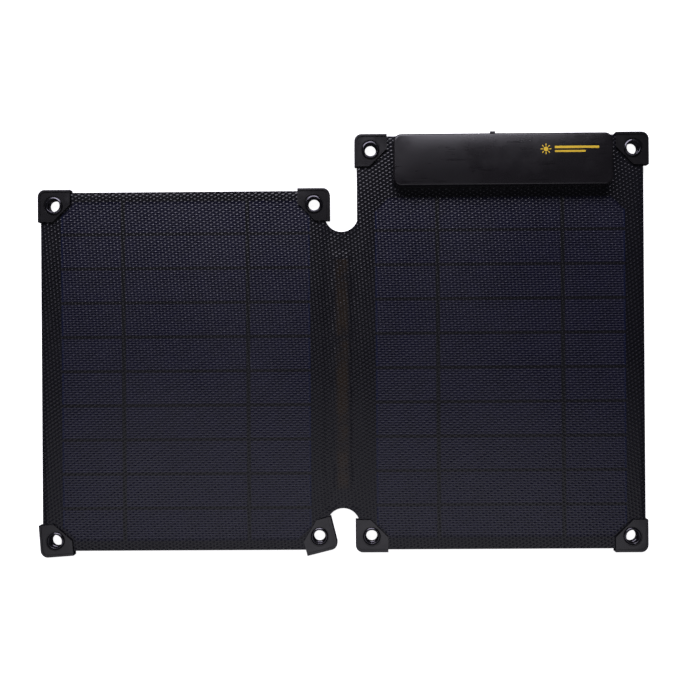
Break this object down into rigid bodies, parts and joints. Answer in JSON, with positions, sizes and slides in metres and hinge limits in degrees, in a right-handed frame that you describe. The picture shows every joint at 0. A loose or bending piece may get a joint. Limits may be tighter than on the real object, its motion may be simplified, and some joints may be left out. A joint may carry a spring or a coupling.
{
  "type": "folding solar blanket",
  "caption": "Folding solar blanket: two laminated cell panels on a soft fabric hinge, with corner eyelets and a charge controller box.",
  "frame": {"origin": "middle of the bounding box, on the lowest face, which is the rear face of the corner clips", "axes": "+X across the two panels, towards the taller panel with the box; +Y up the panels, along the fold; +Z out of the cell side"},
  "size_m": [0.384, 0.2646, 0.0154],
  "materials": {
    "film": "black laminate film with a fine pitted texture, satin",
    "cell": "dark blue silicon with fine pale finger lines",
    "copper": "plain copper foil",
    "board": "stiff fibre-filled sheet, matt",
    "fabric": "black woven polyester, matt",
    "clip": "moulded black plastic, satin matt",
    "eyelet": "black plated metal, glossy",
    "housing": "moulded black plastic with a fine matt texture",
    "circuit": "green circuit board",
    "steel": "plain steel",
    "ferrite": "dark grey ferrite, matt",
    "rubber": "black rubber, matt"
  },
  "bodies": {
    "right_panel": {"right_front_film": "film", "right_cell_01": "cell", "right_cell_02": "cell", "right_cell_03": "cell", "right_cell_04": "cell", "right_cell_05": "cell", "right_cell_06": "cell", "right_cell_07": "cell", "right_cell_08": "cell", "right_cell_09": "cell", "right_cell_10": "cell", "right_busbar_1": "copper", "right_busbar_2": "copper", "right_backing_board": "board", "right_rear_fabric": "fabric", "right_clip_top_inner": "clip", "right_clip_top_outer": "clip", "right_clip_bottom_inner": "clip", "right_clip_bottom_outer": "clip", "right_eyelet_top_inner": "eyelet", "right_eyelet_top_outer": "eyelet", "right_eyelet_bottom_inner": "eyelet", "right_eyelet_bottom_outer": "eyelet", "controller_box_base": "housing", "controller_box_cover": "housing", "circuit_board": "circuit", "power_inductor": "ferrite", "usb_socket_shell": "steel", "usb_socket_tongue": "clip", "box_screw_1": "steel", "box_screw_2": "steel", "box_screw_3": "steel", "box_screw_4": "steel"},
    "spine": {"hinge_front_skin": "film", "hinge_flex_ribbon": "copper", "hinge_rear_skin": "fabric"},
    "left_panel": {"left_front_film": "film", "left_cell_01": "cell", "left_cell_02": "cell", "left_cell_03": "cell", "left_cell_04": "cell", "left_cell_05": "cell", "left_cell_06": "cell", "left_cell_07": "cell", "left_cell_08": "cell", "left_cell_09": "cell", "left_cell_10": "cell", "left_busbar_1": "copper", "left_busbar_2": "copper", "left_backing_board": "board", "left_rear_fabric": "fabric", "left_clip_top_outer": "clip", "left_clip_top_inner": "clip", "left_clip_bottom_outer": "clip", "left_clip_bottom_inner": "clip", "left_eyelet_top_outer": "eyelet", "left_eyelet_top_inner": "eyelet", "left_eyelet_bottom_outer": "eyelet", "left_eyelet_bottom_inner": "eyelet"},
    "flap": {"port_flap": "rubber"}
  },
  "joints": [
    {"name": "fold_right", "type": "hinge", "parent": "right_panel", "child": "spine", "pos_m": [0.00325, 0, 0.0038], "axis": [0, 1, 0], "range_deg": [0, 90]},
    {"name": "fold_left", "type": "hinge", "parent": "spine", "child": "left_panel", "pos_m": [-0.00415, 0, 0.0038], "axis": [0, 1, 0], "range_deg": [0, 90]},
    {"name": "port_flap_hinge", "type": "hinge", "parent": "right_panel", "child": "flap", "pos_m": [0.09345, 0.13023, 0.007], "axis": [-1, 0, 0], "range_deg": [0, 100]}
  ]
}
